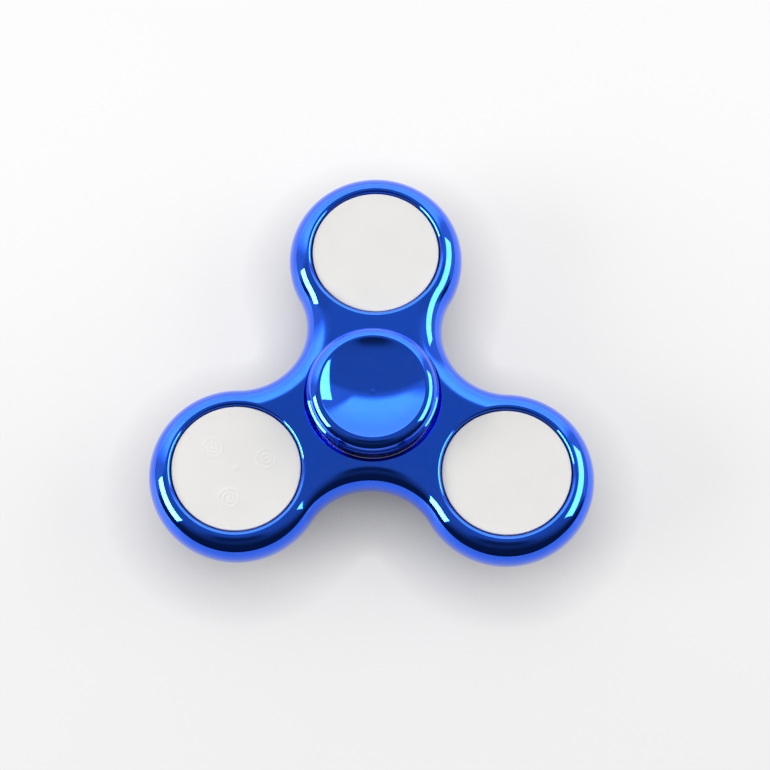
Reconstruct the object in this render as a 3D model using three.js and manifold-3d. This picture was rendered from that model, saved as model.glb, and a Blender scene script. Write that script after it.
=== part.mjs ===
// Light-up tri-lobe fidget spinner: a plated shell with three lobes turns on a 608 ball bearing that two
// concave finger caps clamp, and each lobe carries a snap-in light pod whose whole face is a push button.
//
// Units are millimetres. +Z is the spin axis, towards the upper finger cap. The origin is the centre of the
// bearing, in the middle plane of the shell. Lobe A points along +Y, and B and C follow anticlockwise.

import * as THREE from 'three';
import { mergeVertices } from 'three/addons/utils/BufferGeometryUtils.js';
import Module from 'manifold-3d';

const wasm = await Module();
wasm.setup();

// ---------------------------------------------------------------- driving dimensions

const RAD = Math.PI / 180;
const LOBE_ANGLES = [90, 210, 330]; // degrees about the spin axis
const POD_LETTERS = ['a', 'b', 'c'];
const PITCH_R = 26.1; // spin axis to the centre of each pod
const LOBE_R = 14.92; // outer radius of a lobe in the middle plane
const NOTCH_R = 11.42; // concave radius between two lobes
const SHELL_H = 10.3; // shell thickness
const EDGE_LAND_H = 0.3; // straight band left at the parting line
const EDGE_DEPTH = 4.5; // how far the quarter-ellipse edge rounding reaches inwards
const HOLE_R = 11; // all four bores of the shell
const HOLE_CHAMFER = 0.3;
const LEDGE_R = 10.35; // retaining ledge at the bottom of each bore
const LEDGE_TOP_Z = -3.55;

const ROUND = 30; // facets round each turned piece, a multiple of 3 so that the lobes repeat exactly
const FIT = 0.03; // gap between pressed or resting pieces
const SLIDE_FIT = 0.08; // gap between sliding pieces

const BEARING = { outerR: 11, boreR: 4, halfH: 3.5, pitchR: 7.5, ballR: 1.985, balls: 7 };
const RACE_CLEARANCE = 0.08;
const INNER_LAND_R = 6.05;
const OUTER_LAND_R = 8.95;
const SHIELD = { seatR: 9.45, seatZ: 2.9, innerR: 6.3, outerR: 9.4, lowZ: 2.97, highZ: 3.25, lip: 0.35 };
const CAGE = { innerR: 6.75, outerR: 8.25, lowZ: -2.85, highZ: 0.9, pocketR: 2.2 };

const CAP = {
  crestZ: 9.75, crestInnerR: 8.82, crestOuterR: 9.18, brimCentre: [8.42, 7.34], brimCurve: 2.5,
  flangeR: 11.15, undersideZ: 6.5, underEdge: 0.4, shoulder: [[11.15, 7.5], [11.03, 7.73], [10.79, 7.9]],
  dishR: 8.69, dishCurve: 14.2, dishZ: 7, collarR: 5.95, collarTopZ: 5.4, flareR: 7.3, stubR: 3.97,
  stubEndZ: 0.15, chamfer: 0.3,
};
const CAP_PIN = { pinR: 1.95, pinTopZ: 2.9, socketR: 2.02, socketTopZ: 3.2 };

const POD = {
  faceZ: 4.5, faceR: 10.88, faceEdge: 0.3, lensT: 1, skirtInnerR: 10.16, skirtLowZ: 0.55,
  cupR: HOLE_R - FIT, cupTopZ: 2.6, shoulderZ: -0.05, bossR: 10.3, bossZ: -4.5, stepZ: -3.5,
  floorZ: -3.5, wellR: 8.9, boardSeatZ: 0.6, boardWellR: 9.42,
};
const SNAP = { count: 3, width: 3, side: 0.2, lowZ: 1.2, highZ: 1.7, reach: 10.55 };
const TRAVEL = 0.3; // push-button stroke

const BOARD = { r: 9.3, lowZ: 0.63, highZ: 1.43 };
const LED = { ringR: 5.3, phase: 49, r: 1.5, flangeR: 1.65, flangeH: 0.35, sideH: 0.8, topZ: 3.05 };
const SWITCH = { size: 4.5, lowZ: 1.46, highZ: 2.35, wellR: 0.95, wellZ: 1.56 };
const PLUNGER = { r: 0.88, lowZ: 1.95, highZ: 3.02 };
const POST = { r: 1.3, lowZ: 3.05 }; // boss under the lens that rests on the plunger
const CHIP = { length: 4.9, width: 3.9, height: 1.25, offset: 6, lowZ: 1.46, legs: 4, legPitch: 1.1 };
const CELL = { r: 3.95, ringR: 4.62, lowZ: -3.28, height: 3.6, stepH: 0.35, stepInset: 0.55 };
const STRIP = { length: 11.5, width: 2.6, height: 0.14, gap: 0.04 };

// ---------------------------------------------------------------- materials

const finish = (color, roughness, metalness) =>
  new THREE.MeshStandardMaterial({ color, roughness, metalness });
const MATERIALS = {
  platedBlue: finish(0x0a48c8, 0.12, 0.9),
  bearingSteel: finish(0xc9ccd0, 0.2, 1),
  shieldSteel: finish(0xb9bcc0, 0.35, 1),
  cageNylon: finish(0x3a3d40, 0.6, 0),
  lensWhite: finish(0xebebe8, 0.45, 0),
  cupWhite: finish(0xe4e4e0, 0.5, 0),
  boardGreen: finish(0x1f6b3a, 0.5, 0),
  ledClear: finish(0xe9edf2, 0.15, 0),
  switchBlack: finish(0x1c1d1f, 0.5, 0),
  plungerGrey: finish(0x6a6d72, 0.5, 0),
  cellSteel: finish(0xc4c5c2, 0.3, 1),
  contactBrass: finish(0xc8a95a, 0.3, 1),
};

// ---------------------------------------------------------------- solids from three.js geometry

// A closed solid from a geometry: position alone is kept, shared corners are merged, slivers are dropped,
// and the winding is turned if the faces point inwards.
function solid(geometry) {
  geometry.deleteAttribute('normal');
  geometry.deleteAttribute('uv');
  const merged = mergeVertices(geometry, 1e-5);
  const at = merged.getAttribute('position');
  const faces = [];
  let volume = 0;
  const [p, q, r] = [new THREE.Vector3(), new THREE.Vector3(), new THREE.Vector3()];
  for (let i = 0; i < merged.index.count; i += 3) {
    const [a, b, c] = [0, 1, 2].map((k) => merged.index.getX(i + k));
    if (a === b || b === c || c === a) continue;
    faces.push(a, b, c);
    q.fromBufferAttribute(at, b).cross(r.fromBufferAttribute(at, c));
    volume += p.fromBufferAttribute(at, a).dot(q);
  }
  if (volume < 0) faces.reverse();
  const mesh = new wasm.Mesh({
    numProp: 3, vertProperties: new Float32Array(at.array), triVerts: new Uint32Array(faces),
  });
  return new wasm.Manifold(mesh);
}

// The triangles of a solid, back as a three.js geometry.
function geometryOf(body) {
  const mesh = body.getMesh();
  const geometry = new THREE.BufferGeometry();
  geometry.setAttribute('position', new THREE.BufferAttribute(new Float32Array(mesh.vertProperties), 3));
  geometry.setIndex(new THREE.BufferAttribute(new Uint32Array(mesh.triVerts), 1));
  geometry.computeVertexNormals();
  return geometry;
}

// A solid turned about Z from [radius, height] pairs, which start and end on the axis or close on themselves.
function turned(profile, facets = ROUND) {
  const points = profile.map(([r, z]) => new THREE.Vector2(r, z));
  return solid(new THREE.LatheGeometry(points, facets).rotateX(Math.PI / 2));
}

// Places a geometry-made solid: turned about Z by an angle in degrees, then moved.
function placed(body, { angle = 0, x = 0, y = 0, z = 0 }) {
  return body.rotate([0, 0, angle]).translate([x, y, z]);
}

// A plain round bar between two heights.
function bar(r, lowZ, highZ, facets = ROUND) {
  return turned([[0, lowZ], [r, lowZ], [r, highZ], [0, highZ]], facets);
}

// A block centred on (x, y) between two heights.
function block(length, width, lowZ, highZ, x = 0, y = 0) {
  const geometry = new THREE.BoxGeometry(length, width, highZ - lowZ);
  return solid(geometry.translate(x, y, (lowZ + highZ) / 2));
}

// Points along an arc in degrees, both ends included.
function arc([cx, cy], r, from, to, steps) {
  return Array.from({ length: steps + 1 }, (_, i) => {
    const angle = (from + ((to - from) * i) / steps) * RAD;
    return [cx + r * Math.cos(angle), cy + r * Math.sin(angle)];
  });
}

const polar = (r, degrees) => [r * Math.cos(degrees * RAD), r * Math.sin(degrees * RAD)];

// ---------------------------------------------------------------- shell

// Outline of the shell in the middle plane: each lobe's arc runs tangent into the concave arcs beside it.
function shellOutline() {
  const reach = LOBE_R + NOTCH_R;
  const notchL = (PITCH_R + Math.sqrt(PITCH_R ** 2 - 4 * (PITCH_R ** 2 - reach ** 2))) / 2;
  const tangent = Math.acos((notchL * Math.cos(60 * RAD) - PITCH_R) / reach) / RAD;
  const points = [];
  for (const lobe of LOBE_ANGLES) {
    points.push(...arc(polar(PITCH_R, lobe), LOBE_R, lobe - tangent, lobe + tangent, 24));
    const sweep = arc(polar(notchL, lobe + 60), NOTCH_R, lobe + tangent + 180, lobe + 300 - tangent, 10);
    points.push(...sweep.slice(1, -1));
  }
  return points.map(([x, y]) => new THREE.Vector2(x, y));
}

// One bore's cutter: a chamfered mouth, the bore, and the smaller way out through the retaining ledge.
function boreCutter() {
  const top = SHELL_H / 2;
  return turned([
    [0, -top - 1], [LEDGE_R, -top - 1], [LEDGE_R, LEDGE_TOP_Z], [HOLE_R, LEDGE_TOP_Z],
    [HOLE_R, top - HOLE_CHAMFER], [HOLE_R + HOLE_CHAMFER + 1, top + 1], [0, top + 1],
  ]);
}

function shell() {
  const roundH = (SHELL_H - EDGE_LAND_H) / 2;
  const blank = new THREE.ExtrudeGeometry(new THREE.Shape(shellOutline()), {
    depth: EDGE_LAND_H, bevelEnabled: true, bevelThickness: roundH, bevelSize: EDGE_DEPTH,
    bevelOffset: -EDGE_DEPTH, bevelSegments: 4,
  });
  let body = solid(blank.translate(0, 0, -EDGE_LAND_H / 2)).subtract(boreCutter());
  for (const lobe of LOBE_ANGLES) {
    const [x, y] = polar(PITCH_R, lobe);
    body = body.subtract(placed(boreCutter(), { angle: lobe, x, y }));
  }
  return body;
}

// ---------------------------------------------------------------- bearing

// Half of a raceway in section: an arc round the ball whose chords stay clear of the ball.
function raceway(side) {
  const steps = 4;
  const span = side > 0 ? 47 : 43;
  const r = (BEARING.ballR + RACE_CLEARANCE) / Math.cos((span / steps) * RAD);
  const middle = side > 0 ? 0 : 180;
  return arc([BEARING.pitchR, 0], r, middle - span, middle + span, steps);
}

function outerRing() {
  const { outerR, halfH } = BEARING;
  const { seatR, seatZ } = SHIELD;
  const r = outerR - FIT;
  return turned([
    [r - 0.3, -halfH], [r, -halfH + 0.3], [r, halfH - 0.3], [r - 0.3, halfH], [seatR, halfH],
    [seatR, seatZ], [OUTER_LAND_R, seatZ], ...raceway(1).reverse(), [OUTER_LAND_R, -seatZ],
    [seatR, -seatZ], [seatR, -halfH], [r - 0.3, -halfH],
  ]);
}

function innerRing() {
  const { boreR, halfH } = BEARING;
  return turned([
    [boreR, -halfH], [boreR, halfH], [INNER_LAND_R, halfH], ...raceway(-1), [INNER_LAND_R, -halfH],
    [boreR, -halfH],
  ]);
}

// A pressed steel shield: a flat ring whose inner lip is turned inwards.
function shield(side) {
  const { innerR, outerR, lowZ, highZ } = SHIELD;
  const t = highZ - lowZ;
  return turned([
    [innerR, side * lowZ], [innerR, side * (highZ - t / 3)], [innerR + t, side * highZ],
    [outerR, side * highZ], [outerR, side * lowZ], [innerR, side * lowZ],
  ]);
}

const ballPlace = (i) => polar(BEARING.pitchR, 90 + (360 / BEARING.balls) * i);

function ball() {
  return solid(new THREE.SphereGeometry(BEARING.ballR, 12, 8).rotateX(Math.PI / 2));
}

// Crown cage: a ring under the balls with posts standing between them.
function cage() {
  const { innerR, outerR, lowZ, highZ, pocketR } = CAGE;
  let body = turned([[innerR, lowZ], [outerR, lowZ], [outerR, highZ], [innerR, highZ], [innerR, lowZ]], 28);
  const pocket = solid(new THREE.SphereGeometry(pocketR, 10, 6).rotateX(Math.PI / 2));
  for (let i = 0; i < BEARING.balls; i++) {
    const [x, y] = ballPlace(i);
    body = body.subtract(placed(pocket, { x, y }));
  }
  return body;
}

// ---------------------------------------------------------------- finger caps

// Section of a finger cap from its stub's end, out under the flange, up the bevelled shoulder and the full
// round of the brim, over the crest, to the middle of the dish.
function capSection() {
  const c = CAP;
  const under = arc([c.flangeR - c.underEdge, c.undersideZ + c.underEdge], c.underEdge, -90, 0, 2);
  const brim = arc(c.brimCentre, c.brimCurve, 22, 70, 4);
  const dish = [1, 0.84, 0.68, 0.51, 0.34, 0.17, 0].map((u) => {
    const r = c.dishR * u;
    return [r, c.dishZ + (r * r) / (2 * c.dishCurve)];
  });
  const seatZ = BEARING.halfH + FIT;
  return [
    [c.stubR - c.chamfer, c.stubEndZ], [c.stubR, c.stubEndZ + c.chamfer], [c.stubR, seatZ],
    [c.collarR, seatZ], [c.collarR, c.collarTopZ], [c.flareR, c.undersideZ], ...under, ...c.shoulder,
    ...brim, [c.crestOuterR, c.crestZ], [c.crestInnerR, c.crestZ], ...dish,
  ];
}

function upperCap() {
  const { socketR, socketTopZ } = CAP_PIN;
  return turned([[0, socketTopZ], [socketR, socketTopZ], [socketR, CAP.stubEndZ], ...capSection()]);
}

function lowerCap() {
  const { pinR, pinTopZ } = CAP_PIN;
  const section = capSection().map(([r, z]) => [r, -z]);
  return turned([[0, pinTopZ], [pinR, pinTopZ], [pinR, -CAP.stubEndZ], ...section]);
}

// ---------------------------------------------------------------- light pod, in its own frame: +X points
// outwards from the spin axis and the spin plane is z = 0

// Three blocks round the pod wall, for the snap lugs and for the windows that they stand in.
function snapBlocks(width, fromR, toR, lowZ, highZ) {
  const one = block(toR - fromR, width, lowZ, highZ, (fromR + toR) / 2);
  const angles = Array.from({ length: SNAP.count }, (_, i) => (360 / SNAP.count) * i);
  return angles.map((angle) => placed(one, { angle })).reduce((sum, next) => sum.add(next));
}

function podCup() {
  const p = POD;
  const wallR = p.skirtInnerR - SLIDE_FIT;
  const cup = turned([
    [0, p.bossZ], [p.bossR, p.bossZ], [p.bossR, p.stepZ], [p.cupR, p.stepZ], [p.cupR, p.shoulderZ],
    [wallR, p.shoulderZ], [wallR, p.cupTopZ], [p.boardWellR, p.cupTopZ], [p.boardWellR, p.boardSeatZ],
    [p.wellR, p.boardSeatZ], [p.wellR, p.floorZ], [0, p.floorZ],
  ]);
  return cup.add(snapBlocks(SNAP.width, wallR - 0.3, SNAP.reach, SNAP.lowZ, SNAP.highZ));
}

// The lens is the push button: a flat face, a skirt that slides on the cup, and a post over the switch.
function podButton() {
  const p = POD;
  const lensZ = p.faceZ - p.lensT;
  const lens = turned([
    [0, POST.lowZ], [POST.r, POST.lowZ], [POST.r, lensZ], [p.skirtInnerR, lensZ],
    [p.skirtInnerR, p.skirtLowZ], [p.faceR, p.skirtLowZ], [p.faceR, p.faceZ - p.faceEdge],
    [p.faceR - p.faceEdge, p.faceZ], [0, p.faceZ],
  ]);
  const windowHigh = SNAP.highZ + TRAVEL + FIT;
  const windows = snapBlocks(SNAP.width + 2 * SNAP.side, 9.8, 11.4, SNAP.lowZ - FIT, windowHigh);
  return lens.subtract(windows);
}

function led() {
  const low = BOARD.highZ + FIT;
  return turned([
    [0, low], [LED.flangeR, low], [LED.flangeR, low + LED.flangeH], [LED.r, low + LED.flangeH],
    [LED.r, low + LED.sideH], [LED.r * 0.72, LED.topZ - 0.25], [0, LED.topZ],
  ], 10);
}

function switchCase() {
  const s = SWITCH;
  return block(s.size, s.size, s.lowZ, s.highZ).subtract(bar(s.wellR, s.wellZ, s.highZ + 1, 12));
}

// A small-outline driver chip: a body with a row of gull legs drawn as blocks on its two long sides.
function driverChip() {
  const { length, width, height, lowZ, legs, legPitch, offset } = CHIP;
  let chip = block(width, length, lowZ + 0.1, lowZ + height, offset);
  for (let i = 0; i < legs; i++) {
    const y = (i - (legs - 1) / 2) * legPitch;
    chip = chip.add(block(width + 1.4, 0.42, lowZ, lowZ + 0.5, offset, y));
  }
  return chip;
}

// A button cell: the can, and the smaller raised pole, which faces up or down to put three cells in series.
function cell(up) {
  const { r, lowZ, height, stepH, stepInset } = CELL;
  const poleR = r - stepInset;
  const canH = height - stepH;
  const section = [[0, 0], [r, 0], [r, canH], [poleR, canH], [poleR, height], [0, height]];
  return turned(section.map(([x, z]) => [x, up ? lowZ + z : lowZ + height - z]), 16);
}

// ---------------------------------------------------------------- assembly

const spinner = new THREE.Group();

function addMesh(parent, name, body, material) {
  const mesh = new THREE.Mesh(geometryOf(body), material);
  mesh.name = name;
  parent.add(mesh);
  return mesh;
}

addMesh(spinner, 'body_shell', shell(), MATERIALS.platedBlue);
addMesh(spinner, 'bearing_outer_ring', outerRing(), MATERIALS.bearingSteel);
addMesh(spinner, 'bearing_inner_ring', innerRing(), MATERIALS.bearingSteel);
addMesh(spinner, 'bearing_cage', cage(), MATERIALS.cageNylon);
addMesh(spinner, 'bearing_shield_top', shield(1), MATERIALS.shieldSteel);
addMesh(spinner, 'bearing_shield_bottom', shield(-1), MATERIALS.shieldSteel);
addMesh(spinner, 'finger_cap_top', upperCap(), MATERIALS.platedBlue);
addMesh(spinner, 'finger_cap_bottom', lowerCap(), MATERIALS.platedBlue);
for (let i = 0; i < BEARING.balls; i++) {
  const [x, y] = ballPlace(i);
  addMesh(spinner, `bearing_ball_${i + 1}`, ball(), MATERIALS.bearingSteel).position.set(x, y, 0);
}

// The flat strip that joins two neighbouring cells, seen from above the edge between them.
function contactStrip(parent, name, lowZ, middleAngle) {
  const [x, y] = polar(CELL.ringR / 2, middleAngle);
  const flat = block(STRIP.length, STRIP.width, lowZ, lowZ + STRIP.height);
  const strip = placed(flat, { angle: middleAngle + 90, x, y });
  addMesh(parent, name, strip, MATERIALS.contactBrass);
}

function addPod(letter, lobe) {
  const pod = new THREE.Group();
  pod.rotation.z = lobe * RAD;
  pod.position.set(...polar(PITCH_R, lobe), 0);
  spinner.add(pod);
  const add = (name, body, material) => addMesh(pod, `pod_${letter}_${name}`, body, material);

  add('cup', podCup(), MATERIALS.cupWhite);
  add('button', podButton(), MATERIALS.lensWhite);
  add('circuit_board', bar(BOARD.r, BOARD.lowZ, BOARD.highZ, 24), MATERIALS.boardGreen);
  add('switch_case', switchCase(), MATERIALS.switchBlack);
  add('switch_plunger', bar(PLUNGER.r, PLUNGER.lowZ, PLUNGER.highZ, 12), MATERIALS.plungerGrey);
  const chip = placed(driverChip(), { angle: LED.phase + 60 });
  add('driver_chip', chip, MATERIALS.switchBlack);
  for (let i = 0; i < 3; i++) {
    const [ledX, ledY] = polar(LED.ringR, LED.phase + 120 * i);
    add(`led_${i + 1}`, led(), MATERIALS.ledClear).position.set(ledX, ledY, 0);
    const [cellX, cellY] = polar(CELL.ringR, 120 * i);
    add(`cell_${i + 1}`, cell(i !== 1), MATERIALS.cellSteel).position.set(cellX, cellY, 0);
  }
  contactStrip(pod, `pod_${letter}_contact_lower`, POD.floorZ + STRIP.gap, 60);
  contactStrip(pod, `pod_${letter}_contact_upper`, CELL.lowZ + CELL.height + STRIP.gap, 180);
}

LOBE_ANGLES.forEach((lobe, i) => addPod(POD_LETTERS[i], lobe));

export default spinner;
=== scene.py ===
"""Looks of a light-up tri-lobe fidget spinner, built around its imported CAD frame."""

import math

import bpy
import numpy as np
from bpy.props import FloatProperty, FloatVectorProperty, IntProperty, PointerProperty
from bpy.types import Operator, Panel, PropertyGroup
from mathutils import Matrix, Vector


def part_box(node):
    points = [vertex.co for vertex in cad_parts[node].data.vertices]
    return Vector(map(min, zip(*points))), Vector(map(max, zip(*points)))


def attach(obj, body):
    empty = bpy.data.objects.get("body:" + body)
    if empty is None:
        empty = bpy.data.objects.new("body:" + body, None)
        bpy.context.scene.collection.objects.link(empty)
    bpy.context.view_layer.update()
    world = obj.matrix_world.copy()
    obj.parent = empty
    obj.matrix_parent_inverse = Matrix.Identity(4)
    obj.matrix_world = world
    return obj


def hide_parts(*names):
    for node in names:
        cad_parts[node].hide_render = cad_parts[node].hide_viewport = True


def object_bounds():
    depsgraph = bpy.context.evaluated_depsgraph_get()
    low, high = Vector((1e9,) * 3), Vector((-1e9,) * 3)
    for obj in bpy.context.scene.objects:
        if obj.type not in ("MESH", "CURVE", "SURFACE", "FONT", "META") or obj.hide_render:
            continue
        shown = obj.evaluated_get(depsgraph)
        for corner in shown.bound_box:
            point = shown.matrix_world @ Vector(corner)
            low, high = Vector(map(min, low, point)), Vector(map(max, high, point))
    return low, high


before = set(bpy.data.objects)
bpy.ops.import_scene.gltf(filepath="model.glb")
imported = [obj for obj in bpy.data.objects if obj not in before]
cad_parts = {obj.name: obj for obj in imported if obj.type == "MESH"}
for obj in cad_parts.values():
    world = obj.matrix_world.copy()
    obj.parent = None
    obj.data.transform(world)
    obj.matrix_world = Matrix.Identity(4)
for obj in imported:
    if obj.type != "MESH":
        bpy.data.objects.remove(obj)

bl_info = {
    "name": "Light-up fidget spinner",
    "version": (1, 0, 0),
    "blender": (4, 5, 0),
    "location": "3D View > Sidebar > Spinner",
    "description": "Builds a plated tri-lobe spinner with light pods, a ball bearing and finger caps",
    "category": "Add Mesh",
}

MM = 0.001  # one millimetre in Blender's metres
CAD_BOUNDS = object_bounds()
POD_LETTERS = "abc"
BALL_COUNT = 7


# ---------------------------------------------------------------- sizes from the frame, in millimetres

def box_mm(node):
    """Lowest and highest corner of a CAD node, in millimetres."""
    low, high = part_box(node)
    return np.round(np.array(low) / MM, 3), np.round(np.array(high) / MM, 3)


def lobe_angle(letter):
    """Direction of a lobe about the spin axis, in whole degrees."""
    x, y = sum(box_mm(f"pod_{letter}_button"))[:2]
    return round(math.degrees(math.atan2(y, x))) % 360


def direction(degrees):
    """Unit vectors in the spin plane."""
    turn = np.radians(degrees)
    return np.stack([np.cos(turn), np.sin(turn)], axis=-1)


def pod_centre(letter):
    """Where a light pod's own axis crosses the spin plane."""
    return PITCH_R * direction(lobe_angle(letter))


PITCH_R = float(sum(box_mm("pod_a_button"))[1] / 2)
SHELL_TOP = box_mm("body_shell")[1][2]
LOBE_R = box_mm("body_shell")[1][1] - PITCH_R
CAP_TOP = box_mm("finger_cap_top")[1][2]
CAP_R = box_mm("finger_cap_top")[1][0]
CAP_UNDER = 6.5
SHOULDER_Z = 7.9
RING_R = box_mm("bearing_outer_ring")[1][0]
RING_HALF = box_mm("bearing_outer_ring")[1][2]
LENS_TOP = box_mm("pod_a_button")[1][2]
LENS_R = (box_mm("pod_a_button")[1] - box_mm("pod_a_button")[0])[1] / 2
CUP_BOTTOM = box_mm("pod_a_cup")[0][2]
NOTCH_R = 11.42
BORE_R = 11.0
LEDGE_R = 10.35
LEDGE_Z = -3.55
LAND_HALF = 0.15
SNAP_ANGLES = (0, 120, 240)
LED_PHASE = 49
LED_RING_R = 5.3
BALL_PITCH_R = 7.5


# ---------------------------------------------------------------- colours

def srgb(code):
    """A colour code such as "0a48c8", as linear red, green and blue."""
    values = np.array([int(code[i:i + 2], 16) for i in (0, 2, 4)]) / 255
    low = values / 12.92
    high = ((values + 0.055) / 1.055) ** 2.4
    return tuple(float(v) for v in np.where(values <= 0.04045, low, high))


# ---------------------------------------------------------------- settings that a user would change

def length(name, description, millimetres, low=0.0, high=50.0):
    """A length property given in millimetres and kept in metres."""
    return FloatProperty(
        name=name, description=description, default=millimetres * MM, min=low * MM, max=high * MM,
        precision=5, unit="LENGTH", subtype="DISTANCE")


def colour(name, description, code):
    """A colour property given as an sRGB code."""
    return FloatVectorProperty(
        name=name, description=description, default=srgb(code), min=0, max=1, size=3, subtype="COLOR")


class SpinnerSizes(PropertyGroup):
    """Sizes of the finished surfaces that the CAD frame leaves plain."""

    edge_depth: length("Edge depth", "How far the rounded edge of the shell reaches inwards", 4.5)
    rim_fillet: length("Bore rim", "Rounding round the mouth of each bore", 0.75)
    brim_curve: length("Brim curve", "Radius of the full round of a finger cap's brim", 2.5)
    brim_r: length("Brim centre", "Distance of that round's centre from the spin axis", 8.42)
    bevel: length("Shoulder", "Width of the bevelled shoulder under the brim", 0.36)
    crest_r: length("Crest radius", "Distance of a finger cap's crest from the spin axis", 9.0)
    crest_curve: length("Crest curve", "Rounding where the brim turns into the dish", 0.6)
    dish_curve: length("Dish curve", "Radius of the dish at its middle", 14.2)
    lens_edge: length("Lens edge", "Rounding of a light pod's lens", 0.14)
    mark_height: length("Mark height", "Height of the moulded ring marks on one lens", 0.05)
    facets: IntProperty(name="Facets", description="Steps round each turned piece", default=192, min=48)


class SpinnerColours(PropertyGroup):
    """Colours of the finishes."""

    plating: colour("Plating", "Blue lacquer over the bright metal film", "005ffa")
    lens: colour("Lens", "Milk-white diffuser", "b8b8b8")
    cup: colour("Cup", "White moulding of the light pod", "e6e6e3")
    steel: colour("Steel", "Ground bearing steel", "c8cacd")
    shield: colour("Shield", "Pressed steel shields of the bearing", "b2b5b8")
    cage: colour("Cage", "Nylon ball cage", "2e3032")
    board: colour("Board", "Solder mask on the circuit boards", "1f6b3a")
    strip: colour("Strip", "Phosphor-bronze contact strips", "c9a45c")
    # the base colour is mid grey; the sheet looks pale through its painted glow
    floor: colour("Floor", "Pale table top", "6d6d6f")


# ---------------------------------------------------------------- surfaces
# A patch is (points, quads, normals).

def grid_quads(rows, columns, wrap):
    """Quads between neighbouring points of a row-by-column grid, closed round the columns if wrap is true."""
    across = np.arange(columns if wrap else columns - 1)
    along = np.arange(rows - 1)[:, None] * columns
    right = (across + 1) % columns
    corners = [along + across, along + right, along + right + columns, along + across + columns]
    return np.stack(corners, axis=-1).reshape(-1, 4)


def grid_patch(points, normals, wrap=True):
    """A patch from (rows, columns, 3) arrays of points and normals."""
    rows, columns = points.shape[:2]
    return points.reshape(-1, 3), grid_quads(rows, columns, wrap), normals.reshape(-1, 3)


def mirrored(patch):
    """The same patch reflected in the spin plane, with its faces still pointing outwards."""
    points, quads, normals = patch
    flip = np.array([1, 1, -1])
    return points * flip, quads[:, ::-1], normals * flip


def make_object(name, patches, materials, smooth_angle=None, tints=None):
    """One mesh object from patches in millimetres. Points that meet are welded and quads that shrink to an
    edge are closed up. The patches' own normals shade it, unless smooth_angle marks its sharp edges."""
    starts = np.cumsum([0] + [len(p[0]) for p in patches])
    points = np.concatenate([p[0] for p in patches])
    quads = np.concatenate([p[1] + s for p, s in zip(patches, starts)])
    keys = np.round(points * 1e4).astype(np.int64)
    _, first, weld = np.unique(keys, axis=0, return_index=True, return_inverse=True)
    welded = weld.ravel()[quads]
    same = welded == np.roll(welded, -1, axis=1)
    whole = ~same.any(axis=1)
    faces = welded[whole].tolist()
    corners = quads[whole].ravel().tolist()
    source = np.flatnonzero(whole).tolist()
    for i in np.flatnonzero(same.sum(axis=1) == 1):
        keep = [k for k in range(4) if not same[i, k]]
        if len(set(welded[i, keep])) == 3:
            faces.append(welded[i, keep].tolist())
            corners += quads[i, keep].tolist()
            source.append(i)
    mesh = bpy.data.meshes.new(name)
    mesh.from_pydata((points[first] * MM).tolist(), [], faces)
    mesh.polygons.foreach_set("use_smooth", [True] * len(faces))
    for material in materials:
        mesh.materials.append(material)
    if tints is not None:
        mesh.polygons.foreach_set("material_index", np.asarray(tints)[source].astype(np.int32))
    if smooth_angle is None:
        normals = np.concatenate([p[2] for p in patches])[corners]
        mesh.normals_split_custom_set(normals.tolist())
    else:
        mesh.set_sharp_from_angle(angle=math.radians(smooth_angle))
    mesh.validate()
    mesh.update()
    obj = bpy.data.objects.new(name, mesh)
    bpy.context.scene.collection.objects.link(obj)
    return obj


def stand_for(obj, body, slot, *nodes):
    """The finished piece moves with its body and stands for its CAD nodes, which it hides; slot is not used.
    """
    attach(obj, body)
    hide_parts(*nodes)


def rounded(corners, steps=6):
    """A section line from (radius, height, fillet) corners: each fillet is an arc tangent to both sides."""
    at = np.array([c[:2] for c in corners], float)
    line = []
    for i, (_, _, fillet) in enumerate(corners):
        if not fillet:
            line.append(at[i])
            continue
        back = at[i - 1] - at[i]
        ahead = at[(i + 1) % len(at)] - at[i]
        back, ahead = back / np.hypot(*back), ahead / np.hypot(*ahead)
        half = math.acos(np.clip(back @ ahead, -1, 1)) / 2
        middle = (back + ahead) / np.hypot(*(back + ahead))
        centre = at[i] + middle * fillet / math.sin(half)
        start = at[i] + back * fillet / math.tan(half) - centre
        end = at[i] + ahead * fillet / math.tan(half) - centre
        turn = math.atan2(start[0] * end[1] - start[1] * end[0], start @ end)
        for step in np.linspace(0, turn, steps + 1):
            c, s = math.cos(step), math.sin(step)
            line.append(centre + [c * start[0] - s * start[1], s * start[0] + c * start[1]])
    return np.array(line)


def turned(line, centre=(0, 0), facets=192, lift=None):
    """A section line of (radius, height) carried once round an axis at centre. lift(angle, radius, height)
    may return other radii and heights for the whole grid."""
    angle = np.linspace(0, 360, facets, endpoint=False)[None, :]
    radius = np.repeat(line[:, :1], facets, axis=1)
    height = np.repeat(line[:, 1:], facets, axis=1)
    if lift is not None:
        radius, height = lift(angle, radius, height)
    spot = direction(angle) * radius[..., None] + np.asarray(centre)
    points = np.concatenate([spot, height[..., None]], axis=-1)
    return grid_patch(points, np.zeros_like(points))


# ---------------------------------------------------------------- the shell

LOBE_STEPS, TURN_STEPS, WEB_STEPS, NOTCH_STEPS, ARC_STEPS = 128, 12, 20, 16, 40
EDGE_ROWS = 26


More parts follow.
